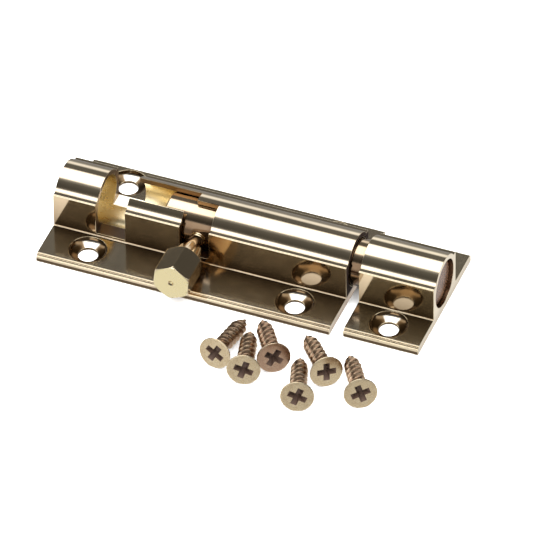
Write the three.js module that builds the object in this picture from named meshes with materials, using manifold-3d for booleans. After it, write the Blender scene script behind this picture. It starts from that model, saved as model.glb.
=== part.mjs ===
// Straight barrel bolt in polished brass, shown locked, with its keeper and six loose fixing screws.
// Frame: X along the bolt towards the keeper, -Y towards the knob side, +Z away from the door.
// Origin: middle of the barrel case's flat mounting face. Millimetres.
import * as THREE from 'three';
import { mergeVertices } from 'three/addons/utils/BufferGeometryUtils.js';
import Module from 'manifold-3d';

const wasm = await Module();
wasm.setup();

// ---- Driving dimensions ----------------------------------------------------
// extruded section shared by the case and the keeper
const BASE_T = 1.5;            // flange thickness
const EDGE_STEP_W = 0.45;      // width of the small step along each long edge
const EDGE_STEP_Z = 1.15;      // height of that step
const AXIS_Z = 5.2;            // bolt axis above the mounting face
const BORE_R = 4.0;            // bore for the bolt
const ARCH_R = 4.87;           // outside of the arch over the bore
const WALL_Y = 4.95;           // outer face of the side walls
const WALL_FOOT = 0.2;         // small fillet where a wall meets its flange
const SHOULDER_Z = 7.82;       // ledge where the wall meets the arch
const SHOULDER_R = 0.38;       // rounded outer edge of that ledge
const ARC_STEPS = 26;
const BORE_STEPS = 48;

// barrel case
const CASE_L = 50;
const CASE_W = 25;
const PARK_X0 = -17.7;         // open notch, where the knob parks with the bolt drawn back
const PARK_X1 = -12.7;
const PARK_Z = 2.0;            // floor of that notch, milled straight across almost to the flange
const SLOT_Y0 = -2.75;         // long slot along the top
const SLOT_Y1 = 1.75;
const SLOT_X1 = -2.0;
const LOCK_X0 = -3.35;         // locking notch
const LOCK_X1 = 1.65;
const LOCK_Y = -0.35;          // its back edge on the arch
const LOCK_Z = 2.4;            // what is left of the front wall under it
const NOTCH_CORNER_R = 0.7;
const HOLE_X = 17.65;          // screw holes, +-X and +-Y
const HOLE_Y = 8.6;
const HOLE_R = 1.65;
const SINK_R = 3.1;
const SINK_Z = 0.2;            // height where the countersink starts

// keeper
const KEEP_X0 = 27.1;
const KEEP_X1 = 39.75;
const KEEP_W = 24.0;
const KEEP_HOLE_Y = 8.25;

// bolt
const ROD_R = 3.85;
const ROD_X0 = -6.9;
const ROD_X1 = 39.1;
const ROD_CHAMFER = 0.35;
const GROOVE_X = 8.0;          // annular groove for the friction ring, hidden under the full arch
const GROOVE_W = 1.8;
const GROOVE_R = 3.0;
const RING_W = 1.2;
const RING_RI = 3.3;
const RING_RO = 3.88;
const RING_GAP_DEG = 50;

// knob, screwed radially into the bolt
const KNOB_X = -0.6;
const KNOB_TILT_DEG = 1.3;     // rest angle above the horizontal
const KNOB_HOLE_R = 1.2;       // tapped hole in the bolt
const KNOB_ROOT_R = 0.88;
const HEX_R = 3.35;            // corner radius of the hexagonal head
const HEX_PHASE_DEG = 25;

// fixing screws, No.4 countersunk, cross recess
const SCREW_L = 11.0;
const SCREW_HEAD_R = 2.7;
const SCREW_TILT_DEG = 9;      // lying on head rim and thread
// head centre X, head centre Y, heading of the shank in the plane, turn about the screw's axis
const SCREWS = [
  [10.73, -25.56, 84.5, 28],
  [16.39, -27.57, 105.4, 20],
  [19.84, -23.26, 121.1, 35],
  [26.51, -30.41, 108.4, 24],
  [28.75, -23.38, 128.1, 3],
  [35.54, -26.21, 120.2, -18],
];

// ---- Materials -------------------------------------------------------------
const brass = () => new THREE.MeshStandardMaterial({ color: 0xc9b184, roughness: 0.16, metalness: 1.0 });
const darkBrass = () => new THREE.MeshStandardMaterial({ color: 0xb59a70, roughness: 0.2, metalness: 1.0 });
const springSteel = () => new THREE.MeshStandardMaterial({ color: 0x8f9196, roughness: 0.35, metalness: 1.0 });
const screwBrass = () => new THREE.MeshStandardMaterial({ color: 0xb08b5e, roughness: 0.32, metalness: 1.0 });

// ---- Helpers ---------------------------------------------------------------
const rad = (d) => (d * Math.PI) / 180;

function solid(geometry) {
  const g = geometry.clone();
  g.deleteAttribute('normal');
  g.deleteAttribute('uv');
  const m = mergeVertices(g, 1e-5);
  const index = m.index.array;
  const tri = [];
  for (let i = 0; i < index.length; i += 3) {
    const a = index[i], b = index[i + 1], c = index[i + 2];
    if (a !== b && b !== c && c !== a) tri.push(a, b, c);
  }
  return new wasm.Manifold(new wasm.Mesh({
    numProp: 3,
    vertProperties: new Float32Array(m.attributes.position.array),
    triVerts: new Uint32Array(tri),
  }));
}

function geometryOf(manifold) {
  const mesh = manifold.getMesh();
  const g = new THREE.BufferGeometry();
  const p = new Float32Array(mesh.numVert * 3);
  for (let i = 0; i < mesh.numVert; i++) {
    for (let k = 0; k < 3; k++) p[i * 3 + k] = mesh.vertProperties[i * mesh.numProp + k];
  }
  g.setAttribute('position', new THREE.BufferAttribute(p, 3));
  g.setIndex(new THREE.BufferAttribute(new Uint32Array(mesh.triVerts), 1));
  g.computeVertexNormals();
  return g;
}

// a section drawn in (Y, Z), run along X
function alongX(shape, x0, x1) {
  const g = new THREE.ExtrudeGeometry(shape, { depth: x1 - x0, bevelEnabled: false, curveSegments: 1 });
  g.applyMatrix4(new THREE.Matrix4().set(0, 0, 1, x0, 1, 0, 0, 0, 0, 1, 0, 0, 0, 0, 0, 1));
  return g;
}

// an outline drawn in (X, Z), run along Y
function alongY(shape, y0, y1) {
  const g = new THREE.ExtrudeGeometry(shape, { depth: y1 - y0, bevelEnabled: false, curveSegments: 1 });
  g.applyMatrix4(new THREE.Matrix4().set(1, 0, 0, 0, 0, 0, -1, y1, 0, 1, 0, 0, 0, 0, 0, 1));
  return g;
}

function box(x0, x1, y0, y1, z0, z1) {
  const g = new THREE.BoxGeometry(x1 - x0, y1 - y0, z1 - z0);
  g.translate((x0 + x1) / 2, (y0 + y1) / 2, (z0 + z1) / 2);
  return g;
}

// a turned shape: points are (radius, height), turned about +Z
function turned(points, segments) {
  const g = new THREE.LatheGeometry(points.map((p) => new THREE.Vector2(p[0], p[1])), segments);
  g.rotateX(Math.PI / 2);
  return g;
}

// the extruded section: flat base with stepped edges, walls with a rounded shoulder, arch over the bore
function section(width) {
  const h = width / 2;
  const half = [
    [h, 0], [h, EDGE_STEP_Z - 0.12], [h - 0.12, EDGE_STEP_Z],
    [h - EDGE_STEP_W, EDGE_STEP_Z], [h - EDGE_STEP_W, BASE_T - 0.1], [h - EDGE_STEP_W - 0.1, BASE_T],
    [WALL_Y + WALL_FOOT, BASE_T], [WALL_Y + WALL_FOOT * 0.3, BASE_T + WALL_FOOT * 0.3], [WALL_Y, BASE_T + WALL_FOOT],
  ];
  for (let i = 0; i <= 3; i++) {
    const a = (i / 3) * (Math.PI / 2);
    half.push([WALL_Y - SHOULDER_R + SHOULDER_R * Math.cos(a), SHOULDER_Z - SHOULDER_R + SHOULDER_R * Math.sin(a)]);
  }
  const start = Math.asin((SHOULDER_Z + 0.06 - AXIS_Z) / ARCH_R);
  const arc = [];
  for (let i = 0; i <= ARC_STEPS; i++) {
    const a = start + ((Math.PI - 2 * start) * i) / ARC_STEPS;
    arc.push([ARCH_R * Math.cos(a), AXIS_Z + ARCH_R * Math.sin(a)]);
  }
  const left = half.map(([y, z]) => [-y, z]).reverse();
  const shape = new THREE.Shape([...half, ...arc, ...left].map(([y, z]) => new THREE.Vector2(y, z)));
  const hole = [];
  for (let i = 0; i < BORE_STEPS; i++) {
    const a = (-2 * Math.PI * i) / BORE_STEPS;
    hole.push(new THREE.Vector2(BORE_R * Math.cos(a), AXIS_Z + BORE_R * Math.sin(a)));
  }
  shape.holes.push(new THREE.Path(hole));
  return shape;
}

function screwHole(x, y) {
  const k = (SINK_R - HOLE_R) / (BASE_T - SINK_Z);
  const g = turned([[0, -1], [HOLE_R, -1], [HOLE_R, SINK_Z], [SINK_R + 0.5 * k, BASE_T + 0.5], [0, BASE_T + 0.5]], 32);
  g.translate(x, y, 0);
  return solid(g);
}

// outline in (X, Z) of a cutter with rounded lower corners
function notchOutline(x0, x1, z0, z1, r) {
  const p = [[x1, z1], [x0, z1]];
  for (let i = 0; i <= 4; i++) {
    const a = Math.PI + (i / 4) * (Math.PI / 2);
    p.push([x0 + r + r * Math.cos(a), z0 + r + r * Math.sin(a)]);
  }
  for (let i = 0; i <= 4; i++) {
    const a = 1.5 * Math.PI + (i / 4) * (Math.PI / 2);
    p.push([x1 - r + r * Math.cos(a), z0 + r + r * Math.sin(a)]);
  }
  return new THREE.Shape(p.map(([x, z]) => new THREE.Vector2(x, z)));
}

// ---- Barrel case -----------------------------------------------------------
let caseSolid = solid(alongX(section(CASE_W), -CASE_L / 2, CASE_L / 2));
caseSolid = caseSolid
  .subtract(solid(box(PARK_X0, PARK_X1, -8, 8, PARK_Z, 12)))
  .subtract(solid(box(PARK_X1 - 1, SLOT_X1, SLOT_Y0, SLOT_Y1, AXIS_Z + 1, 12)))
  .subtract(solid(alongY(notchOutline(LOCK_X0, LOCK_X1, LOCK_Z, 12, NOTCH_CORNER_R), -8, LOCK_Y)));
for (const x of [-HOLE_X, HOLE_X]) {
  for (const y of [-HOLE_Y, HOLE_Y]) caseSolid = caseSolid.subtract(screwHole(x, y));
}

// ---- Keeper ----------------------------------------------------------------
let keeperSolid = solid(alongX(section(KEEP_W), KEEP_X0, KEEP_X1));
for (const y of [-KEEP_HOLE_Y, KEEP_HOLE_Y]) {
  keeperSolid = keeperSolid.subtract(screwHole((KEEP_X0 + KEEP_X1) / 2, y));
}

// ---- Bolt: a turned rod with an annular groove and a tapped radial hole -----
const rodGeometry = turned([
  [0, ROD_X0], [ROD_R - ROD_CHAMFER, ROD_X0], [ROD_R, ROD_X0 + ROD_CHAMFER],
  [ROD_R, GROOVE_X - GROOVE_W / 2], [GROOVE_R, GROOVE_X - GROOVE_W / 2],
  [GROOVE_R, GROOVE_X + GROOVE_W / 2], [ROD_R, GROOVE_X + GROOVE_W / 2],
  [ROD_R, ROD_X1 - ROD_CHAMFER], [ROD_R - ROD_CHAMFER, ROD_X1], [0, ROD_X1],
], 48);
rodGeometry.rotateY(Math.PI / 2);
rodGeometry.translate(0, 0, AXIS_Z);
const tapped = new THREE.CylinderGeometry(KNOB_HOLE_R, KNOB_HOLE_R, 4.2, 24);
tapped.translate(0, -(0.8 + 2.1), 0);
tapped.rotateX(rad(-KNOB_TILT_DEG));
tapped.translate(KNOB_X, 0, AXIS_Z);
const rodSolid = solid(rodGeometry).subtract(solid(tapped));

// ---- Friction ring: a split spring ring in the groove -----------------------
const ringShape = new THREE.Shape();
{
  const a0 = rad(-90 + RING_GAP_DEG / 2), a1 = rad(270 - RING_GAP_DEG / 2), n = 30;
  const outer = [], inner = [];
  for (let i = 0; i <= n; i++) {
    const a = a0 + ((a1 - a0) * i) / n;
    outer.push(new THREE.Vector2(RING_RO * Math.cos(a), AXIS_Z + RING_RO * Math.sin(a)));
    inner.push(new THREE.Vector2(RING_RI * Math.cos(a), AXIS_Z + RING_RI * Math.sin(a)));
  }
  ringShape.setFromPoints([...outer, ...inner.reverse()]);
}
const ringGeometry = alongX(ringShape, GROOVE_X - RING_W / 2, GROOVE_X + RING_W / 2);

// ---- Knob: threaded root, flared stem, hexagonal head ------------------------
// turned about its own axis, which is +Z here; a prism with six flats trims the head
const knobTurned = solid(turned([
  [0, 1.15], [KNOB_ROOT_R - 0.15, 1.15], [KNOB_ROOT_R, 1.3], [KNOB_ROOT_R, 3.95],
  [1.05, 4.05], [1.1, 4.4], [1.85, 7.3], [2.3, 9.35], [2.5, 9.5], [3.05, 9.95], [HEX_R, 10.15],
  [HEX_R, 15.2], [HEX_R - 0.1, 15.42], [HEX_R - 0.35, 15.58], [1.6, 15.65], [0.5, 15.65], [0.28, 15.35], [0, 15.31],
], 48));
const hexPoints = [];
for (let i = 0; i < 6; i++) {
  const a = rad(HEX_PHASE_DEG + i * 60);
  hexPoints.push(new THREE.Vector2((HEX_R + 0.01) * Math.cos(a), (HEX_R + 0.01) * Math.sin(a)));
}
const hexPrism = new THREE.ExtrudeGeometry(new THREE.Shape(hexPoints), { depth: 20, bevelEnabled: false });
const knobSolid = knobTurned.intersect(solid(hexPrism));
const knobGeometry = geometryOf(knobSolid);
knobGeometry.rotateX(Math.PI / 2);          // +Z to -Y

// ---- Fixing screws -----------------------------------------------------------
// along +Z here: head face at 0, point at SCREW_L
function screwSolid() {
  const pts = [[0, 0], [SCREW_HEAD_R - 0.06, 0], [SCREW_HEAD_R, 0.06], [SCREW_HEAD_R, 0.22], [1.32, 1.7], [1.2, 2.3]];
  const pitch = 1.25;
  let z = 2.5;
  while (z < 10.2) {
    const k = Math.min(1, (SCREW_L + 0.2 - (z + 0.3)) / 3.4);
    pts.push([1.0 * k, z], [1.38 * k, z + 0.38], [1.0 * k, z + 0.76]);
    z += pitch;
  }
  pts.push([0.14, SCREW_L - 0.1], [0, SCREW_L]);
  let s = solid(turned(pts, 16));
  for (const turn of [0, 90]) {
    const arm = new THREE.CylinderGeometry(0.36, 0.72, 1.9, 4, 1);   // tapered four-sided bit
    arm.rotateY(Math.PI / 4);
    arm.scale(1.95, 1, 0.62);
    arm.rotateX(Math.PI / 2);
    arm.rotateZ(rad(turn));
    arm.translate(0, 0, 0.25);
    s = s.subtract(solid(arm));
  }
  return s;
}
const screwGeometry = geometryOf(screwSolid());

// ---- Assembly ------------------------------------------------------------------
const root = new THREE.Group();
function add(parent, name, geometry, material) {
  const mesh = new THREE.Mesh(geometry, material);
  mesh.name = name;
  parent.add(mesh);
  return mesh;
}

add(root, 'barrel_case', geometryOf(caseSolid), brass());
add(root, 'keeper', geometryOf(keeperSolid), brass());
add(root, 'bolt_rod', geometryOf(rodSolid), darkBrass());
add(root, 'friction_ring', ringGeometry, springSteel());

const knobGroup = new THREE.Group();
knobGroup.position.set(KNOB_X, 0, AXIS_Z);
knobGroup.rotation.x = rad(-KNOB_TILT_DEG);
root.add(knobGroup);
add(knobGroup, 'knob', knobGeometry, darkBrass());

SCREWS.forEach(([x, y, heading, turn], i) => {
  const tilt = rad(SCREW_TILT_DEG);
  const g = new THREE.Group();
  g.position.set(x, y, SCREW_HEAD_R * Math.cos(tilt) + 0.06);
  g.rotation.order = 'ZYX';
  g.rotation.z = rad(heading);
  root.add(g);
  // shank direction: along +X of the group, tipped down by the tilt
  const mesh = add(g, `screw_${i + 1}`, screwGeometry.clone(), screwBrass());
  mesh.rotation.order = 'YXZ';
  mesh.rotation.set(0, Math.PI / 2 + tilt, rad(turn));
});

export default root;
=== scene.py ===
import math
import bpy
import bmesh
import numpy as np
from mathutils import Matrix, Vector


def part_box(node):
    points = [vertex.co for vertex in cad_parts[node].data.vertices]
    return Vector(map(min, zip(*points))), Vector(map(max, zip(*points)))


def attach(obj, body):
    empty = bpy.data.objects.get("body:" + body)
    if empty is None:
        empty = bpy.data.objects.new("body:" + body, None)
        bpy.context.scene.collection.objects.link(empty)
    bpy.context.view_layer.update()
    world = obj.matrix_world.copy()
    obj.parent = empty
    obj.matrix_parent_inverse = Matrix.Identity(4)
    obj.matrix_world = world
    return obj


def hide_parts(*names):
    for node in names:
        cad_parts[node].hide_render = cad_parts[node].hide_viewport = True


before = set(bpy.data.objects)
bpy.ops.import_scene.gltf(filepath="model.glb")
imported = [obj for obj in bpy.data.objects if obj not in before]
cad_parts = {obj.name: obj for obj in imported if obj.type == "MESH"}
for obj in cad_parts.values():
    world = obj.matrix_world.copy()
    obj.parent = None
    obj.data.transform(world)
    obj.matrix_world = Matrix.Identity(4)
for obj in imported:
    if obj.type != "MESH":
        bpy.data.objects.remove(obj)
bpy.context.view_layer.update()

MM = 0.001

# ------------------------------------------------------------------ dimensions (mm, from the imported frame)
def box_mm(node):
    lo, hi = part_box(node)
    return [v * 1000 for v in lo], [v * 1000 for v in hi]

(case_lo, case_hi) = box_mm("barrel_case")
(keep_lo, keep_hi) = box_mm("keeper")
(rod_lo, rod_hi) = box_mm("bolt_rod")
(ring_lo, ring_hi) = box_mm("friction_ring")
AXIS_Z = (rod_lo[2] + rod_hi[2]) / 2
ROD_R = (rod_hi[2] - rod_lo[2]) / 2
ARCH_R = case_hi[2] - AXIS_Z
BORE_R = 4.0
BASE_T, STEP_W, STEP_Z = 1.5, 0.45, 1.15
WALL_Y, SHOULDER_Z = 4.95, 7.82
PARK = (-17.7, -12.7, 2.0)
SLOT = (-2.75, 1.75, -2.0)
LOCK = (-3.35, 1.65, -0.35, 2.4)
HOLE_X, HOLE_Y, KEEP_HOLE_Y = 17.65, 8.6, 8.25
HOLE_R, SINK_R, SINK_Z = 1.65, 3.1, 0.42
KNOB_X, KNOB_TILT = -0.6, math.radians(1.3)
HEX_R, HEX_PHASE = 3.35, 25.0
SCREW_TILT = math.radians(9)
SCREWS = [
    (10.73, -25.56, 84.5, 28),
    (16.39, -27.57, 105.4, 20),
    (19.84, -23.26, 121.1, 35),
    (26.51, -30.41, 108.4, 24),
    (28.75, -23.38, 128.1, 3),
    (35.54, -26.21, 120.2, -18),
]


# ------------------------------------------------------------------ mesh helpers
def object_from(name, verts, faces):
    me = bpy.data.meshes.new(name)
    me.from_pydata([tuple(map(float, v)) for v in verts], [], [tuple(f) for f in faces])
    me.update()
    ob = bpy.data.objects.new(name, me)
    bpy.context.scene.collection.objects.link(ob)
    return ob


def fix_normals(ob):
    bm = bmesh.new()
    bm.from_mesh(ob.data)
    bmesh.ops.recalc_face_normals(bm, faces=bm.faces)
    bm.to_mesh(ob.data)
    bm.free()


def prism(name, outline, axis, a, b):
    """A closed outline run along an axis. Outline points are the other two coordinates, in X, Y, Z order."""
    n = len(outline)
    def put(p, t):
        if axis == 0:
            return (t, p[0], p[1])
        if axis == 1:
            return (p[0], t, p[1])
        return (p[0], p[1], t)
    verts = [put(p, a) for p in outline] + [put(p, b) for p in outline]
    faces = [tuple(range(n))[::-1], tuple(range(n, 2 * n))]
    faces += [(i, (i + 1) % n, n + (i + 1) % n, n + i) for i in range(n)]
    ob = object_from(name, verts, faces)
    fix_normals(ob)
    return ob


def lathe(name, profile, segments, centre=(0, 0, 0)):
    """Profile points are (radius, height); the first and last lie on the axis. Turned about +Z."""
    verts, rows = [], []
    for r, z in profile:
        if r < 1e-9:
            rows.append([len(verts)])
            verts.append((centre[0], centre[1], centre[2] + z))
        else:
            rows.append(list(range(len(verts), len(verts) + segments)))
            for i in range(segments):
                a = 2 * math.pi * i / segments
                verts.append((centre[0] + r * math.cos(a), centre[1] + r * math.sin(a), centre[2] + z))
    faces = []
    for lo, hi in zip(rows, rows[1:]):
        for i in range(segments):
            j = (i + 1) % segments
            if len(lo) == 1 and len(hi) == 1:
                continue
            if len(lo) == 1:
                faces.append((lo[0], hi[j], hi[i]))
            elif len(hi) == 1:
                faces.append((lo[i], lo[j], hi[0]))
            else:
                faces.append((lo[i], lo[j], hi[j], hi[i]))
    ob = object_from(name, verts, faces)
    fix_normals(ob)
    return ob


def fillet(points, radii, seg=5):
    """Rounds each corner of a closed polygon."""
    out, n = [], len(points)
    for i in range(n):
        p, a, b, r = Vector(points[i]), Vector(points[i - 1]), Vector(points[(i + 1) % n]), radii[i]
        if r <= 0:
            out.append((p.x, p.y))
            continue
        u, v = (a - p).normalized(), (b - p).normalized()
        half = math.acos(max(-1, min(1, u.dot(v)))) / 2
        t = r / math.tan(half)
        t = min(t, (a - p).length * 0.49, (b - p).length * 0.49)
        r = t * math.tan(half)
        c = p + (u + v).normalized() * (r / math.sin(half))
        s, e = p + u * t, p + v * t
        a0 = math.atan2(s.y - c.y, s.x - c.x)
        a1 = math.atan2(e.y - c.y, e.x - c.x)
        d = (a1 - a0 + math.pi) % (2 * math.pi) - math.pi
        for k in range(seg + 1):
            a_ = a0 + d * k / seg
            out.append((c.x + r * math.cos(a_), c.y + r * math.sin(a_)))
    return out


def boolean(ob, cutter, operation="DIFFERENCE"):
    m = ob.modifiers.new("cut", "BOOLEAN")
    m.operation, m.solver, m.object = operation, "EXACT", cutter
    bpy.context.view_layer.update()
    dg = bpy.context.evaluated_depsgraph_get()
    me = bpy.data.meshes.new_from_object(ob.evaluated_get(dg))
    ob.modifiers.clear()
    old = ob.data
    ob.data = me
    bpy.data.meshes.remove(old)
    bpy.data.objects.remove(cutter, do_unlink=True)
    return ob


def bevel(ob, width, segments=2, angle=32):
    bm = bmesh.new()
    bm.from_mesh(ob.data)
    bmesh.ops.remove_doubles(bm, verts=bm.verts, dist=0.0005)
    bmesh.ops.dissolve_degenerate(bm, dist=0.0005, edges=bm.edges)
    bm.to_mesh(ob.data)
    bm.free()
    m = ob.modifiers.new("bevel", "BEVEL")
    m.width, m.segments, m.limit_method, m.angle_limit = width, segments, "ANGLE", math.radians(angle)
    m.use_clamp_overlap = False
    m.miter_outer = "MITER_ARC"
    bpy.context.view_layer.update()
    dg = bpy.context.evaluated_depsgraph_get()
    me = bpy.data.meshes.new_from_object(ob.evaluated_get(dg))
    ob.modifiers.clear()
    old = ob.data
    ob.data = me
    bpy.data.meshes.remove(old)
    return ob


def shade(ob, angle=38, radial=None):
    """Corner normals weighted by face area within the given angle, and exact ones on round faces."""
    me = ob.data
    nl, nf = len(me.loops), len(me.polygons)
    lv = np.empty(nl, np.int64); me.loops.foreach_get("vertex_index", lv)
    tot = np.empty(nf, np.int64); me.polygons.foreach_get("loop_total", tot)
    area = np.empty(nf); me.polygons.foreach_get("area", area)
    fn = np.empty(nf * 3); me.polygons.foreach_get("normal", fn); fn = fn.reshape(-1, 3)
    co = np.empty(len(me.vertices) * 3); me.vertices.foreach_get("co", co); co = co.reshape(-1, 3)
    lf = np.repeat(np.arange(nf), tot)
    order = np.argsort(lv, kind="stable")
    sv = lv[order]
    start = np.searchsorted(sv, np.arange(len(co)))
    count = np.bincount(lv, minlength=len(co))
    out = fn[lf] * area[lf][:, None]
    kmax = int(count.max())
    cosang = math.cos(math.radians(angle))
    acc = np.zeros((nl, 3))
    for k in range(kmax):
        ok = count[lv] > k
        idx = np.zeros(nl, np.int64)
        idx[ok] = order[(start[lv[ok]] + k)]
        other = lf[idx]
        dot = np.einsum("ij,ij->i", fn[lf], fn[other])
        use = ok & (dot > cosang)
        acc[use] += fn[other[use]] * area[other[use]][:, None]
    length = np.linalg.norm(acc, axis=1)
    bad = length < 1e-12
    acc[bad] = fn[lf[bad]]
    length[bad] = 1
    acc /= np.maximum(np.linalg.norm(acc, axis=1), 1e-12)[:, None]
    if radial is not None:
        axis_z, radii = radial
        rv = np.stack([np.zeros(len(co)), co[:, 1], co[:, 2] - axis_z], 1)
        dist = np.linalg.norm(rv, axis=1)
        rv /= np.maximum(dist, 1e-9)[:, None]
        for r in radii:
            on = np.abs(dist - r) < 0.004
            first = np.zeros(nf, bool)
            alive = np.ones(nf, bool)
            np.logical_and.at(alive, lf, on[lv])
            side = np.einsum("ij,ij->i", fn[lf], rv[lv])
            hit = alive[lf] & (np.abs(side) > 0.98)
            acc[hit] = rv[lv[hit]] * np.sign(side[hit])[:, None]
    me.shade_smooth()
    me.normals_split_custom_set([tuple(v) for v in acc])
    return ob


def paint(ob, name, values):
    a = ob.data.attributes.new(name, "FLOAT", "FACE")
    a.data.foreach_set("value", np.asarray(values, np.float32))


def face_data(ob):
    me = ob.data
    nf = len(me.polygons)
    fn = np.empty(nf * 3); me.polygons.foreach_get("normal", fn)
    fc = np.empty(nf * 3); me.polygons.foreach_get("center", fc)
    area = np.empty(nf); me.polygons.foreach_get("area", area)
    return fn.reshape(-1, 3), fc.reshape(-1, 3), area


def wear_attribute(ob, limit=0.13):
    """Face attribute: 1 on the narrow faces that round a convex edge, where polish wears brightest."""
    bm = bmesh.new()
    bm.from_mesh(ob.data)
    vals = np.zeros(len(bm.faces), np.float32)
    for f in bm.faces:
        longest = max(e.calc_length() for e in f.edges)
        if f.calc_area() > limit * longest:
            continue
        if any(len(e.link_faces) == 2 and e.is_convex and e.calc_length() > 0.5 * longest and e.calc_face_angle(0) > 0.15 for e in f.edges):
            vals[f.index] = 1.0
    bm.free()
    paint(ob, "wear", vals)


def finish_piece(ob, name, node, body, material, matrix=None):
    ob.name = name
    ob.data.name = name
    ob.data.transform(Matrix.Scale(MM, 4))
    ob.data.update()
    ob.data.materials.clear()
    ob.data.materials.append(material)
    if matrix is not None:
        ob.matrix_world = matrix
    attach(ob, body)
    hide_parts(node)
    return ob


# ------------------------------------------------------------------ materials
class Graph:
    def __init__(self, name):
        self.mat = bpy.data.materials.new(name)
        self.mat.use_nodes = True
        self.nt = self.mat.node_tree
        self.nt.nodes.clear()
        self.out = self.nt.nodes.new("ShaderNodeOutputMaterial")
        self.bsdf = self.nt.nodes.new("ShaderNodeBsdfPrincipled")
        self.nt.links.new(self.bsdf.outputs[0], self.out.inputs[0])
        tc = self.nt.nodes.new("ShaderNodeTexCoord")
        self.coord = tc.outputs["Object"]

    def link(self, a, b):
        self.nt.links.new(a, b)

    def scaled(self, sx, sy, sz):
        m = self.nt.nodes.new("ShaderNodeMapping")
        m.inputs["Scale"].default_value = (sx, sy, sz)
        self.link(self.coord, m.inputs["Vector"])
        return m.outputs[0]

    def noise(self, vec, scale, detail=4, rough=0.55):
        n = self.nt.nodes.new("ShaderNodeTexNoise")
        n.inputs["Scale"].default_value = scale
        n.inputs["Detail"].default_value = detail
        n.inputs["Roughness"].default_value = rough
        self.link(vec, n.inputs["Vector"])
        return n.outputs[0]

    def ramp(self, value, stops):
        r = self.nt.nodes.new("ShaderNodeValToRGB")
        r.color_ramp.elements[0].position, r.color_ramp.elements[1].position = stops[0][0], stops[-1][0]
        r.color_ramp.elements[0].color = (*stops[0][1], 1)
        r.color_ramp.elements[1].color = (*stops[-1][1], 1)
        for p, c in stops[1:-1]:
            e = r.color_ramp.elements.new(p)
            e.color = (*c, 1)
        self.link(value, r.inputs[0])
        return r.outputs[0]

    def map(self, value, a, b, c, d):
        m = self.nt.nodes.new("ShaderNodeMapRange")
        for i, v in enumerate((a, b, c, d)):
            m.inputs[i + 1].default_value = v
        self.link(value, m.inputs[0])
        return m.outputs[0]

    def math(self, op, a, b):
        m = self.nt.nodes.new("ShaderNodeMath")
        m.operation = op
        for i, v in enumerate((a, b)):
            if isinstance(v, (int, float)):
                m.inputs[i].default_value = v
            else:
                self.link(v, m.inputs[i])
        return m.outputs[0]

    def mix(self, fac, a, b, blend="MIX"):
        m = self.nt.nodes.new("ShaderNodeMix")
        m.data_type, m.blend_type = "RGBA", blend
        if isinstance(fac, (int, float)):
            m.inputs[0].default_value = fac
        else:
            self.link(fac, m.inputs[0])
        for i, v in ((6, a), (7, b)):
            if isinstance(v, tuple):
                m.inputs[i].default_value = (*v, 1)
            else:
                self.link(v, m.inputs[i])
        return m.outputs[2]

    def attribute(self, name):
        a = self.nt.nodes.new("ShaderNodeAttribute")
        a.attribute_name = name
        return a.outputs["Fac"]

    def axis(self, i):
        s = self.nt.nodes.new("ShaderNodeSeparateXYZ")
        self.link(self.coord, s.inputs[0])
        return s.outputs[i]

    def bump(self, height, strength, distance):
        b = self.nt.nodes.new("ShaderNodeBump")
        b.inputs["Strength"].default_value = strength
        b.inputs["Distance"].default_value = distance
        self.link(height, b.inputs["Height"])
        return b.outputs[0]


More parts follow.
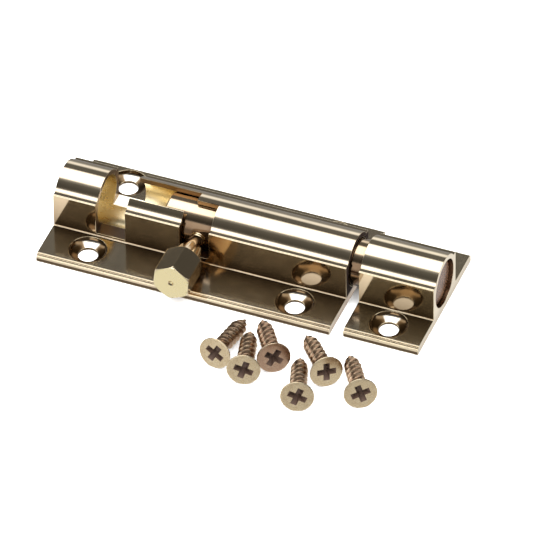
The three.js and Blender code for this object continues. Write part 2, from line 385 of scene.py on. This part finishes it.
def brass(name, tone, lines=(1, 1, 1), rough=(0.05, 0.1), masks=False, streak=0.1, bump=0.05, bright=(0.93, 0.80, 0.55), tip=None, occlusion_shade=0.0, low_side_shade=None, bore_tone=(0.88, 0.74, 0.46), dull_tip=False):
    """Polished brass: faint drawing lines, mottled lacquer, brighter worn edges, and rougher, dark brown cut faces;
    with masks it adds painted shade on the walls, countersinks, front notch floor, flange edges and the case end in
    the gap, painted highlights in the countersinks and on the back notch floor, and its own bore tone. Ambient
    occlusion paints shade into crevices, and the rod gets painted shade along its lower side.
    """
    g = Graph(name)
    stretch = g.scaled(*lines)
    fine = g.noise(stretch, 5200, 3, 0.6)
    broad = g.noise(g.coord, 160, 3, 0.5)
    blotch = g.noise(g.coord, 620, 4, 0.6)
    dark = tuple(c * 0.9 for c in tone)
    light = tuple(min(1.0, c * 1.06) for c in tone)
    col = g.ramp(broad, [(0.3, dark), (0.5, tone), (0.72, light)])
    col = g.mix(g.map(fine, 0.35, 0.7, 0.0, streak), col, tuple(c * 0.82 for c in tone))
    rgh = g.map(blotch, 0.3, 0.7, rough[0], rough[1])
    rgh = g.math("ADD", rgh, g.map(fine, 0.3, 0.75, 0.0, 0.03))
    if masks:
        # painted shade: the side walls are darkened towards the flange, darkest at the foot
        wall = g.attribute("wall")
        height = g.map(g.axis(2), 0.0018, 0.0074, 0.0, 1.0)
        painted_wall_shade = g.mix(height, (0.42, 0.37, 0.32), (0.95, 0.88, 0.80))
        col = g.mix(wall, col, g.mix(1.0, col, painted_wall_shade, "MULTIPLY"))
        flange = g.attribute("flange")
        rgh = g.math("ADD", rgh, g.math("MULTIPLY", flange, 0.055))
        # the cut faces inside the notches are coloured dark brown, with fine streaks, and made rougher
        cut = g.attribute("cut")
        cut_face_brown = g.ramp(fine, [(0.3, (0.26, 0.16, 0.075)), (0.55, (0.31, 0.195, 0.095)), (0.75, (0.37, 0.24, 0.125))])
        col = g.mix(cut, col, cut_face_brown)
        rgh = g.math("ADD", rgh, g.math("MULTIPLY", cut, 0.24))
        # painted shade and highlight: the notch floor is painted dark brown at the front and pale cream at the back,
        # where it is also rougher
        col = g.mix(g.attribute("floor_front"), col, (0.17, 0.12, 0.085))
        col = g.mix(g.attribute("floor_back"), col, (0.98, 0.93, 0.80))
        rgh = g.math("ADD", rgh, g.math("MULTIPLY", g.attribute("floor_back"), 0.3))
        # painted shade: the case's end face in the gap to the keeper is painted near black above the flange, and made
        # rough
        end_shade = g.math("MULTIPLY", g.attribute("shaded_end"), g.map(g.axis(2), 0.0013, 0.0017, 0.0, 1.0))
        col = g.mix(end_shade, col, (0.045, 0.026, 0.019))
        rgh = g.math("ADD", rgh, g.math("MULTIPLY", end_shade, 0.8))
        # painted shade: the lower part of the flange's outer edges is darkened like a contact shadow, a little
        # lighter at the very foot
        edge = g.attribute("edge")
        edge_shade_ramp = g.ramp(g.map(g.axis(2), 0.0, 0.0012, 0.0, 1.0), [(0.0, (0.5, 0.46, 0.4)), (0.12, (0.2, 0.17, 0.14)), (0.5, (0.16, 0.13, 0.1)), (0.62, (1, 1, 1))])
        col = g.mix(edge, col, g.mix(1.0, col, edge_shade_ramp, "MULTIPLY"))
        # painted shade: the countersinks are darkened; painted highlight: a pale glint on the far side of each
        # countersink's lower cone
        sink = g.attribute("sink")
        col = g.mix(sink, col, g.mix(1.0, col, (0.24, 0.19, 0.14), "MULTIPLY"))
        col = g.mix(g.attribute("glint"), col, (0.97, 0.92, 0.80))
        rgh = g.math("ADD", rgh, g.math("MULTIPLY", sink, 0.04))
        # each bore gets its own tone; the keeper's is painted dark brown as shade inside its closed tube
        inside = g.attribute("inside")
        col = g.mix(inside, col, bore_tone)
        rgh = g.math("ADD", rgh, g.math("MULTIPLY", inside, 0.2))
    # painted shade: the rod is darkened below its upper highlight, fully up to just past the case's end and at three
    # tenths of that further along, with light mottling
    if low_side_shade:
        low = g.map(g.axis(2), low_side_shade[0], low_side_shade[1], 1.0, 0.0)
        low = g.math("MULTIPLY", low, g.map(broad, 0.3, 0.7, 0.85, 1.0))
        low = g.math("MULTIPLY", low, g.map(g.axis(0), 0.0266, 0.029, 1.0, 0.3))
        col = g.mix(low, col, g.mix(1.0, col, (0.12, 0.085, 0.065), "MULTIPLY"))
    # end faces get their own tone: the knob's a slightly yellower brass, the rod's a near-black brown, dull oxide
    # deepened as painted shade inside the keeper
    if tip:
        col = g.mix(g.attribute("tip"), col, tip)
        rgh = g.math("ADD", rgh, g.math("MULTIPLY", g.attribute("tip"), 0.16))
    # painted shade: ambient occlusion darkens the colour in crevices and between close parts, with light mottling; on
    # masked pieces the bore and cut faces are left out
    if occlusion_shade:
        ao = g.nt.nodes.new("ShaderNodeAmbientOcclusion")
        ao.samples = 6
        ao.inputs["Distance"].default_value = occlusion_shade
        occlusion_darkening = g.map(ao.outputs["AO"], 0.25, 0.85, 1.0, 0.0)
        occlusion_darkening = g.math("MULTIPLY", occlusion_darkening, g.map(blotch, 0.3, 0.7, 0.75, 1.0))
        if masks:
            occlusion_darkening = g.math("MULTIPLY", occlusion_darkening, g.math("SUBTRACT", 1.0, g.math("MAXIMUM", inside, cut)))
        col = g.mix(occlusion_darkening, col, g.mix(1.0, col, (0.30, 0.22, 0.16), "MULTIPLY"))
    worn = g.math("MULTIPLY", g.attribute("wear"), g.map(blotch, 0.35, 0.6, 0.2, 0.7))
    col = g.mix(worn, col, bright)
    g.link(col, g.bsdf.inputs["Base Color"])
    g.link(rgh, g.bsdf.inputs["Roughness"])
    # the rod's sawn end faces carry a dull brown oxide, deepened as painted shade inside the keeper; the case's end
    # face in the gap (painted shade) and the pale back floor of the notch (painted highlight) are made less metallic
    # as well
    if dull_tip or masks:
        dull = g.attribute("tip") if dull_tip else g.math("MAXIMUM", end_shade, g.math("MULTIPLY", g.attribute("floor_back"), 0.75))
        g.link(g.math("SUBTRACT", 1.0, g.math("MULTIPLY", dull, 0.85)), g.bsdf.inputs["Metallic"])
    else:
        g.bsdf.inputs["Metallic"].default_value = 1.0
    g.link(g.bump(g.math("ADD", g.math("MULTIPLY", fine, 0.6), g.math("MULTIPLY", broad, 0.15)), bump, 0.00001), g.bsdf.inputs["Normal"])
    return g.mat


TONE = (0.86, 0.73, 0.54)
case_mat = brass("lacquered_brass_case", TONE, (0.02, 1, 1), (0.045, 0.085), masks=True, occlusion_shade=0.004)
# painted shade: the keeper's bore is painted dark brown
keeper_mat = brass("lacquered_brass_keeper", (0.86, 0.74, 0.54), (0.02, 1, 1), (0.045, 0.085), masks=True, occlusion_shade=0.004, bore_tone=(0.24, 0.15, 0.09))
rod_mat = brass("turned_brass_bolt", (0.80, 0.62, 0.42), (1, 0.12, 0.12), (0.07, 0.12), streak=0.25, bump=0.08, tip=(0.10, 0.048, 0.024), dull_tip=True, occlusion_shade=0.003, low_side_shade=(0.0076, 0.0083))
knob_mat = brass("milled_brass_knob", (0.76, 0.62, 0.43), (1, 0.1, 1), (0.06, 0.12), streak=0.2, bump=0.08, tip=(0.76, 0.66, 0.39))


def screw_material(name, head_tones, shank):
    g = Graph(name)
    at = g.nt.nodes.new("ShaderNodeAttribute")
    at.attribute_name = "local"
    g.coord = at.outputs["Vector"]
    stretch = g.scaled(1, 1, 0.2)
    fine = g.noise(stretch, 4200, 4, 0.6)
    blotch = g.noise(g.coord, 900, 4, 0.6)
    tones = g.ramp(blotch, [(0.3, tuple(c * 0.72 for c in shank)), (0.5, shank), (0.7, tuple(min(1, c * 1.3) for c in shank))])
    head = g.map(g.axis(2), 0.0003, 0.0008, 1.0, 0.0)
    head_tone = g.ramp(blotch, [(0.3, head_tones[0]), (0.55, head_tones[1]), (0.75, head_tones[2])])
    col = g.mix(head, tones, head_tone)
    col = g.mix(g.map(fine, 0.35, 0.7, 0, 0.3), col, tuple(c * 0.6 for c in shank))
    # painted shade: the cross recess is painted near black brown, rougher and less metallic
    inside = g.attribute("inside")
    col = g.mix(inside, col, (0.075, 0.045, 0.032))
    worn = g.math("MULTIPLY", g.attribute("wear"), g.map(blotch, 0.35, 0.6, 0.1, 0.55))
    worn = g.math("MULTIPLY", worn, g.math("SUBTRACT", 1.0, inside))
    col = g.mix(worn, col, (0.86, 0.72, 0.5))
    g.link(col, g.bsdf.inputs["Base Color"])
    g.link(g.math("ADD", g.map(blotch, 0.3, 0.7, 0.2, 0.34), g.math("MULTIPLY", inside, 0.3)), g.bsdf.inputs["Roughness"])
    g.link(g.math("SUBTRACT", 1.0, g.math("MULTIPLY", inside, 0.8)), g.bsdf.inputs["Metallic"])
    g.link(g.bump(fine, 0.12, 0.00003), g.bsdf.inputs["Normal"])
    return g.mat


def steel_material():
    g = Graph("spring_steel_ring")
    fine = g.noise(g.scaled(1, 0.2, 0.2), 3800, 4, 0.6)
    blotch = g.noise(g.coord, 500, 4, 0.55)
    col = g.ramp(blotch, [(0.3, (0.36, 0.36, 0.38)), (0.55, (0.5, 0.5, 0.52)), (0.75, (0.62, 0.62, 0.63))])
    worn = g.math("MULTIPLY", g.attribute("wear"), 0.6)
    col = g.mix(worn, col, (0.75, 0.75, 0.76))
    g.link(col, g.bsdf.inputs["Base Color"])
    g.link(g.map(fine, 0.3, 0.7, 0.22, 0.42), g.bsdf.inputs["Roughness"])
    g.bsdf.inputs["Metallic"].default_value = 1.0
    g.link(g.bump(fine, 0.15, 0.00002), g.bsdf.inputs["Normal"])
    return g.mat


screw_mat = screw_material("plated_brass_screw", [(0.58, 0.46, 0.29), (0.67, 0.55, 0.36), (0.76, 0.64, 0.44)], (0.33, 0.215, 0.14))
screw_dark = screw_material("coppery_brass_screw", [(0.40, 0.26, 0.18), (0.48, 0.32, 0.22), (0.6, 0.44, 0.32)], (0.33, 0.205, 0.135))
steel_mat = steel_material()


# ------------------------------------------------------------------ case and keeper
def section_outline(width):
    h = width / 2
    half = [(h, 0), (h, STEP_Z), (h - STEP_W, STEP_Z), (h - STEP_W, BASE_T), (WALL_Y, BASE_T), (WALL_Y, SHOULDER_Z)]
    radii = [0.12, 0.16, 0.08, 0.14, 0.2, 0.2]
    # where the ledge meets the arch, with a small concave corner
    ledge_z = SHOULDER_Z + 0.05
    start = math.asin((ledge_z - AXIS_Z) / ARCH_R)
    arc = []
    n = 110
    for i in range(n + 1):
        a = start + 0.05 + (math.pi - 2 * start - 0.1) * i / n
        arc.append((ARCH_R * math.cos(a), AXIS_Z + ARCH_R * math.sin(a)))
    corner = (ARCH_R * math.cos(start), ledge_z)
    pts = half + [corner] + arc + [(-corner[0], corner[1])] + [(-y, z) for y, z in reversed(half)]
    rad = radii + [0.16] + [0] * len(arc) + [0.16] + list(reversed(radii))
    return fillet(pts, rad, 6)


def hole_cutter(x, y):
    profile = [(HOLE_R - 0.05, -1), (HOLE_R - 0.05, SINK_Z)]
    profile += [(2.1, 0.6), (2.4, 0.71), (2.62, 0.81), (2.8, 0.94), (2.94, 1.1), (3.04, 1.29), (SINK_R, BASE_T), (SINK_R + 0.2, BASE_T + 0.5)]
    return lathe("sink", [(0, -1)] + profile + [(0, BASE_T + 0.5)], 96, (x, y, 0))


def box_cutter(x0, x1, y0, y1, z0, z1, r=0.0):
    return prism("cutter", [(x0, z0), (x1, z0), (x1, z1), (x0, z1)], 1, y0, y1)


def notch_cutter(x0, x1, z0, z1, y0, y1, r=0.7):
    return prism("notch", fillet([(x0, z0), (x1, z0), (x1, z1), (x0, z1)], [r, r, 0, 0], 8), 1, y0, y1)


def bored(outline, x0, x1):
    ob = prism("section", outline, 0, x0, x1)
    ring = [(BORE_R * math.cos(2 * math.pi * i / 96), AXIS_Z + BORE_R * math.sin(2 * math.pi * i / 96)) for i in range(96)]
    return boolean(ob, prism("bore", ring, 0, x0 - 1, x1 + 1))


def classify(ob, x0, x1, holes):
    fn, fc, area = face_data(ob)
    rad = np.hypot(fc[:, 1], fc[:, 2] - AXIS_Z)
    wall = (np.abs(fn[:, 1]) > 0.9) & (np.abs(np.abs(fc[:, 1]) - WALL_Y) < 0.03) & (fc[:, 2] > BASE_T) & (fc[:, 2] < 7.5)
    flange = (fn[:, 2] > 0.95) & (np.abs(fc[:, 2] - BASE_T) < 0.03)
    sink = np.zeros(len(fc), bool)
    glint = np.zeros(len(fc))
    for x, y in holes:
        d = np.hypot(fc[:, 0] - x, fc[:, 1] - y)
        cone = (d < SINK_R + 0.08) & (fc[:, 2] < BASE_T - 0.005) & ~(fn[:, 2] < -0.9)
        sink |= cone
        # painted highlight: a pale patch on the far side of the countersink's lower cone, fading out sideways
        turn = np.degrees(np.abs(np.arctan2(fc[:, 0] - x, fc[:, 1] - y) + 0.14))
        lit = cone & (fc[:, 2] > SINK_Z + 0.02) & (fc[:, 2] < 1.0)
        glint = np.where(lit, np.clip((34 - turn) / 8, 0, 1), glint)
    bore = (np.abs(rad - BORE_R) < 0.02) & (np.abs(fn[:, 0]) < 0.2)
    # the case's end face towards the keeper, for its painted shade
    shaded_end = (fn[:, 0] > 0.9) & (np.abs(fc[:, 0] - x1) < 0.01) & (x1 < 26)
    paint(ob, "shaded_end", shaded_end)
    ends = (np.abs(fn[:, 0]) > 0.9) & ((np.abs(fc[:, 0] - x0) < 0.01) | (np.abs(fc[:, 0] - x1) < 0.01))
    cut = (np.abs(fn[:, 0]) > 0.9) & ~ends & (fc[:, 2] > BASE_T)
    inner = (fc[:, 2] > 1.55) & (rad < ARCH_R - 0.02) & (rad > BORE_R + 0.02) & ~ends & (np.abs(fn[:, 0]) < 0.5)
    cut |= inner & (np.abs(fc[:, 1]) < WALL_Y - 0.02)
    cut |= (fc[:, 2] > 1.55) & (fn[:, 2] > 0.9) & (fc[:, 2] < 5.0) & (np.abs(fc[:, 1]) < WALL_Y + 0.02) & (rad > BORE_R + 0.02)
    paint(ob, "wall", wall)
    paint(ob, "sink", sink)
    paint(ob, "glint", glint)
    paint(ob, "flange", flange)
    # the flange's outer edge faces, for their painted shade
    edge = (np.abs(fn[:, 1]) > 0.8) & (np.abs(fc[:, 1]) > 11) & (fc[:, 2] < STEP_Z - 0.02)
    paint(ob, "cut", cut)
    # notch floors, for the painted shade at the front and the painted highlight at the back
    floor_up = cut & (fn[:, 2] > 0.9) & (fc[:, 2] < 3.0)
    paint(ob, "floor_front", floor_up & (fc[:, 1] < 0))
    paint(ob, "floor_back", floor_up & (fc[:, 1] > 0))
    paint(ob, "edge", edge)
    paint(ob, "inside", bore)


case_holes = [(sx * HOLE_X, sy * HOLE_Y) for sx in (-1, 1) for sy in (-1, 1)]
case = bored(section_outline(case_hi[1] - case_lo[1]), case_lo[0], case_hi[0])
boolean(case, box_cutter(PARK[0], PARK[1], -8, 8, PARK[2], 12))
boolean(case, box_cutter(PARK[1] - 1, SLOT[2], SLOT[0], SLOT[1], AXIS_Z + 1, 12.2))
boolean(case, notch_cutter(LOCK[0], LOCK[1], LOCK[3], 12.4, -8.2, LOCK[2]))
for x, y in case_holes:
    boolean(case, hole_cutter(x, y))
bevel(case, 0.07, 2)
shade(case, 38, (AXIS_Z, (ARCH_R, BORE_R)))
classify(case, case_lo[0], case_hi[0], case_holes)
wear_attribute(case)
finish_piece(case, "case_body", "barrel_case", "case", case_mat)

keep_holes = [((keep_lo[0] + keep_hi[0]) / 2, s * KEEP_HOLE_Y) for s in (-1, 1)]
keeper = bored(section_outline(keep_hi[1] - keep_lo[1]), keep_lo[0], keep_hi[0])
for x, y in keep_holes:
    boolean(keeper, hole_cutter(x, y))
bevel(keeper, 0.07, 2)
shade(keeper, 38, (AXIS_Z, (ARCH_R, BORE_R)))
classify(keeper, keep_lo[0], keep_hi[0], keep_holes)
wear_attribute(keeper)
finish_piece(keeper, "keeper_body", "keeper", "keeper", keeper_mat)


# ------------------------------------------------------------------ bolt, ring, knob
def along_x(ob):
    ob.data.transform(Matrix.Translation((0, 0, AXIS_Z)) @ Matrix.Rotation(math.radians(90), 4, "Y"))
    fix_normals(ob)
    return ob


gx, gw, gr = (ring_lo[0] + ring_hi[0]) / 2, 1.8, 3.0
rod = along_x(lathe("rod", [
    (0, rod_lo[0]), (1.2, rod_lo[0]), (2.6, rod_lo[0]), (ROD_R - 0.35, rod_lo[0]), (ROD_R - 0.22, rod_lo[0] + 0.04), (ROD_R - 0.04, rod_lo[0] + 0.22), (ROD_R, rod_lo[0] + 0.35),
    (ROD_R, gx - gw / 2), (gr, gx - gw / 2), (gr, gx + gw / 2), (ROD_R, gx + gw / 2),
    (ROD_R, rod_hi[0] - 0.35), (ROD_R - 0.04, rod_hi[0] - 0.22), (ROD_R - 0.22, rod_hi[0] - 0.04), (ROD_R - 0.35, rod_hi[0]), (2.6, rod_hi[0]), (1.2, rod_hi[0]), (0, rod_hi[0]),
], 128))
knob_frame = Matrix.Translation((KNOB_X, 0, AXIS_Z)) @ Matrix.Rotation(-KNOB_TILT, 4, "X") @ Matrix.Rotation(math.radians(90), 4, "X")
bevel(rod, 0.05, 2, 35)
shade(rod, 38, (AXIS_Z, (ROD_R,)))
fn, fc, area = face_data(rod)
paint(rod, "tip", np.abs(fn[:, 0]) > 0.9)
wear_attribute(rod)
finish_piece(rod, "bolt_bar", "bolt_rod", "bolt", rod_mat)

ring_pts = []
rmid, rw, rt = (3.3 + 3.88) / 2, 1.2, 0.58
cross = fillet([(-rw / 2, -rt / 2), (rw / 2, -rt / 2), (rw / 2, rt / 2), (-rw / 2, rt / 2)], [0.16] * 4, 4)
verts, faces, nring, nc = [], [], 90, len(cross)
for i in range(nring + 1):
    a = math.radians(-90 + 26) + math.radians(360 - 52) * i / nring
    for cx, cr in cross:
        verts.append((gx + cx, (rmid + cr) * math.cos(a), AXIS_Z + (rmid + cr) * math.sin(a)))
for i in range(nring):
    for j in range(nc):
        k = (j + 1) % nc
        faces.append((i * nc + j, i * nc + k, (i + 1) * nc + k, (i + 1) * nc + j))
faces.append(tuple(range(nc)))
faces.append(tuple(nring * nc + j for j in reversed(range(nc))))
ring = object_from("ring", verts, faces)
fix_normals(ring)
shade(ring, 40)
wear_attribute(ring)
finish_piece(ring, "friction_spring", "friction_ring", "ring", steel_mat)

knob = lathe("knob", [
    (0, 1.15), (0.73, 1.15), (0.88, 1.3), (0.88, 3.8), (1.16, 3.81), (1.18, 3.85), (1.13, 3.92), (1.1, 4.02), (1.1, 4.14), (1.14, 4.2), (1.14, 4.3), (1.1, 4.36), (1.1, 4.44),
    (1.48, 5.8), (1.85, 7.3), (2.28, 9.25), (2.36, 9.4), (2.55, 9.52), (3.0, 9.86), (3.2, 9.99), (HEX_R, 10.15),
    (HEX_R, 15.12), (HEX_R - 0.03, 15.26), (HEX_R - 0.12, 15.4), (HEX_R - 0.28, 15.52), (HEX_R - 0.6, 15.6), (1.9, 15.635), (1.2, 15.65), (0.52, 15.65), (0.46, 15.62), (0.3, 15.4), (0.15, 15.33), (0, 15.31),
], 120)
hexa = [((HEX_R + 0.01) * math.cos(math.radians(HEX_PHASE + 60 * i)), (HEX_R + 0.01) * math.sin(math.radians(HEX_PHASE + 60 * i))) for i in range(6)]
boolean(knob, prism("hex", hexa, 2, -1, 20), "INTERSECT")
bevel(knob, 0.07, 2, 30)
shade(knob, 33)
wear_attribute(knob)
fn, fc, area = face_data(knob)
paint(knob, "tip", fn[:, 2] > 0.8)
knob.data.transform(knob_frame)
finish_piece(knob, "knob_turned", "knob", "bolt", knob_mat)


# ------------------------------------------------------------------ screws
def screw_mesh():
    length, pitch, cols = 11.0, 1.2, 72
    head = [(0, 0), (1.0, 0.0), (2.0, 0.0), (2.56, 0.0), (2.66, 0.03), (2.7, 0.1), (2.7, 0.2), (2.64, 0.28), (2.2, 0.72), (1.7, 1.24), (1.42, 1.55), (1.3, 1.75), (1.24, 2.0)]
    zs = np.arange(2.1, length - 0.001, 0.05)
    rows = [(r, z, 0.0) for r, z in head]
    for z in zs:
        taper = min(1.0, max(0.0, (length + 0.05 - z) / 3.0)) ** 0.8
        core = 1.22 - 0.27 * min(1, (z - 2.0) / 0.7)
        core = core * taper
        ridge = 0.46 * min(1, max(0, (z - 2.3) / 0.9)) * min(1.0, (length + 0.3 - z) / 2.2)
        rows.append((core, z, ridge))
    verts, faces, index = [], [], []
    for r, z, ridge in rows:
        if r < 1e-9:
            index.append([len(verts)])
            verts.append((0, 0, z))
            continue
        index.append(list(range(len(verts), len(verts) + cols)))
        for i in range(cols):
            a = 2 * math.pi * i / cols
            u = (z / pitch - i / cols) % 1.0
            h = max(0.0, 1 - abs(u - 0.5) / 0.3)
            h = h ** 1.3
            rr = r + ridge * h
            verts.append((rr * math.cos(a), rr * math.sin(a), z))
    index.append([len(verts)])
    verts.append((0, 0, length))
    for lo, hi in zip(index, index[1:]):
        for i in range(cols):
            j = (i + 1) % cols
            if len(lo) == 1:
                faces.append((lo[0], hi[j], hi[i]))
            elif len(hi) == 1:
                faces.append((lo[i], lo[j], hi[0]))
            else:
                faces.append((lo[i], lo[j], hi[j], hi[i]))
    ob = object_from("screw", verts, faces)
    fix_normals(ob)
    # cross recess: four tapered wings round a small square well
    for quarter in (0, 1):
        w0, w1, l0, l1, top, bottom = 0.56, 0.3, 1.75, 0.6, -0.3, 1.45
        v = [(-l0, -w0, top), (l0, -w0, top), (l0, w0, top), (-l0, w0, top), (-l1, -w1, bottom), (l1, -w1, bottom), (l1, w1, bottom), (-l1, w1, bottom)]
        f = [(0, 1, 2, 3), (4, 7, 6, 5), (0, 4, 5, 1), (1, 5, 6, 2), (2, 6, 7, 3), (3, 7, 4, 0)]
        c = object_from("wing", v, f)
        fix_normals(c)
        if quarter:
            c.data.transform(Matrix.Rotation(math.radians(90), 4, "Z"))
        boolean(ob, c)
    shade(ob, 36)
    fn, fc, area = face_data(ob)
    # the cross recess, for its painted shade
    well = (np.hypot(fc[:, 0], fc[:, 1]) < 1.7) & (fc[:, 2] > 0.02) & (fc[:, 2] < 1.6) & (np.hypot(fc[:, 0], fc[:, 1]) < 2.5 - fc[:, 2] * 1.1)
    paint(ob, "inside", well)
    wear_attribute(ob)
    co = np.empty(len(ob.data.vertices) * 3)
    ob.data.vertices.foreach_get("co", co)
    local = ob.data.attributes.new("local", "FLOAT_VECTOR", "POINT")
    local.data.foreach_set("vector", (co * MM).astype(np.float32))
    return ob


for i, (x, y, heading, turn) in enumerate(SCREWS):
    screw = screw_mesh()
    z = 2.7 * math.cos(SCREW_TILT) + 0.06
    place = (
        Matrix.Translation((x, y, z))
        @ Matrix.Rotation(math.radians(heading), 4, "Z")
        @ Matrix.Rotation(math.pi / 2 + SCREW_TILT, 4, "Y")
        @ Matrix.Rotation(math.radians(turn), 4, "Z")
    )
    screw.data.transform(place)
    screw.data.update()
    finish_piece(screw, f"wood_screw_{i + 1}", f"screw_{i + 1}", "case", screw_dark if i == 2 else screw_mat)


# ------------------------------------------------------------------ stage, light and camera
def floor():
    me = bpy.data.meshes.new("floor")
    me.from_pydata([(-3, -3, -0.00002), (3, -3, -0.00002), (3, 3, -0.00002), (-3, 3, -0.00002)], [], [(0, 1, 2, 3)])
    ob = bpy.data.objects.new("floor", me)
    bpy.context.scene.collection.objects.link(ob)
    g = Graph("pale_floor")
    g.link(g.ramp(g.noise(g.coord, 3, 2), [(0.3, (0.93, 0.93, 0.93)), (0.7, (0.95, 0.95, 0.95))]), g.bsdf.inputs["Base Color"])
    g.bsdf.inputs["Roughness"].default_value = 0.9
    g.bsdf.inputs["Specular IOR Level"].default_value = 0.1
    me.materials.append(g.mat)
    ob.visible_glossy = False
    return ob


floor()


def area_light(name, location, size, energy, colour=(1, 1, 1)):
    data = bpy.data.lights.new(name, "AREA")
    data.shape, data.size, data.size_y, data.energy, data.color = "RECTANGLE", size[0], size[1], energy, colour
    ob = bpy.data.objects.new(name, data)
    bpy.context.scene.collection.objects.link(ob)
    ob.location = location
    ob.rotation_euler = (Vector((0.007, -0.008, 0)) - Vector(location)).to_track_quat("-Z", "Y").to_euler()
    ob.visible_glossy = False
    return ob


area_light("top_softbox", (0.0, 0.05, 0.9), (1.6, 1.6), 34)
area_light("front_softbox", (0.2, -0.8, 0.6), (1.2, 0.8), 9)

# the studio round the object: strips of light and shade that run along X, as a ramp over the angle round that axis
world = bpy.data.worlds.new("studio")
bpy.context.scene.world = world
world.use_nodes = True
wt = world.node_tree
wt.nodes.clear()
wout = wt.nodes.new("ShaderNodeOutputWorld")
wbg = wt.nodes.new("ShaderNodeBackground")
wtc = wt.nodes.new("ShaderNodeTexCoord")
wsep = wt.nodes.new("ShaderNodeSeparateXYZ")
wt.links.new(wtc.outputs["Generated"], wsep.inputs[0])
wneg = wt.nodes.new("ShaderNodeMath"); wneg.operation = "MULTIPLY"; wneg.inputs[1].default_value = -1.0
wt.links.new(wsep.outputs[1], wneg.inputs[0])
wat = wt.nodes.new("ShaderNodeMath"); wat.operation = "ARCTAN2"
wt.links.new(wneg.outputs[0], wat.inputs[0])
wt.links.new(wsep.outputs[2], wat.inputs[1])
wmap = wt.nodes.new("ShaderNodeMapRange")
wmap.inputs[1].default_value, wmap.inputs[2].default_value = -math.pi, math.pi
wt.links.new(wat.outputs[0], wmap.inputs[0])
STRENGTH = 2.3
ALONG = [  # degrees from straight up, positive towards the knob side; brightness; warmth
    (-180, 0.30, 0.0), (-98, 0.25, 0.0), (-86, 0.32, 0.0), (-77, 1.1, 0.0), (-68, 1.1, 0.0), (-60, 0.135, 0.2), (-38, 0.12, 0.2),
    (-30, 2.3, 0.0), (8, 2.3, 0.0), (15, 0.34, 0.0), (23, 0.13, 0.2), (34, 0.095, 0.3), (42, 0.08, 0.35), (49, 0.095, 0.3), (53, 0.3, 0.0), (57, 2.3, 0.0),
    (82, 2.3, 0.0), (98, 0.9, 0.1), (120, 1.05, 0.1), (180, 1.05, 0.0),
]
ACROSS = [
    (-180, 1.0, 0.0), (-110, 0.9, 0.0), (-92, 0.12, 0.3), (-45, 0.07, 0.3), (-25, 0.3, 0.2), (-10, 1.8, 0.0), (12, 1.8, 0.0), (25, 0.3, 0.2), (60, 0.14, 0.3), (95, 0.3, 0.2), (125, 1.0, 0.1), (180, 1.0, 0.0),
]


def studio_ramp(stops):
    ramp = wt.nodes.new("ShaderNodeValToRGB")
    wt.links.new(wmap.outputs[0], ramp.inputs[0])
    els = ramp.color_ramp.elements
    for i, (deg, b, warm) in enumerate(stops):
        e = els[0] if i == 0 else (els[len(els) - 1] if i == len(stops) - 1 else els.new((deg + 180) / 360))
        e.position = (deg + 180) / 360
        b /= STRENGTH
        e.color = (b, b * (1 - 0.12 * warm), b * (1 - 0.35 * warm), 1)
    return ramp.outputs[0]


wx = wt.nodes.new("ShaderNodeMath"); wx.operation = "ADD"; wx.inputs[1].default_value = 0.2
wt.links.new(wsep.outputs[0], wx.inputs[0])
wabs = wt.nodes.new("ShaderNodeMath"); wabs.operation = "ABSOLUTE"
wt.links.new(wx.outputs[0], wabs.inputs[0])
wside = wt.nodes.new("ShaderNodeMapRange")
for i, v in enumerate((0.28, 0.42, 0.0, 1.0)):
    wside.inputs[i + 1].default_value = v
wt.links.new(wabs.outputs[0], wside.inputs[0])
wmix = wt.nodes.new("ShaderNodeMix"); wmix.data_type = "RGBA"
wt.links.new(wside.outputs[0], wmix.inputs[0])
wt.links.new(studio_ramp(ALONG), wmix.inputs[6])
wt.links.new(studio_ramp(ACROSS), wmix.inputs[7])
wt.links.new(wmix.outputs[2], wbg.inputs[0])
wbg.inputs[1].default_value = STRENGTH
wt.links.new(wbg.outputs[0], wout.inputs[0])

cam_data = bpy.data.cameras.new("camera")
cam = bpy.data.objects.new("camera", cam_data)
bpy.context.scene.collection.objects.link(cam)
az, el, roll = math.radians(21.84), math.radians(41.81), math.radians(-0.81)
back = Vector((math.sin(az) * math.cos(el), -math.cos(az) * math.cos(el), math.sin(el)))
right = Vector((math.cos(az), math.sin(az), 0))
up = right.cross(-back)
r2 = right * math.cos(roll) + up * math.sin(roll)
u2 = -right * math.sin(roll) + up * math.cos(roll)
cam.location = Vector((0.007, 0, 0.004)) + back * 1.5 + r2 * 0.00237 - u2 * 0.00414
cam.rotation_euler = Matrix((r2, u2, back)).transposed().to_euler()
cam_data.sensor_width = 36
cam_data.lens = 637.7
cam_data.clip_start, cam_data.clip_end = 0.1, 20
cam_data.dof.use_dof = False
bpy.context.scene.camera = cam
bpy.context.scene.view_settings.view_transform = "Standard"
bpy.context.scene.view_settings.look = "None"
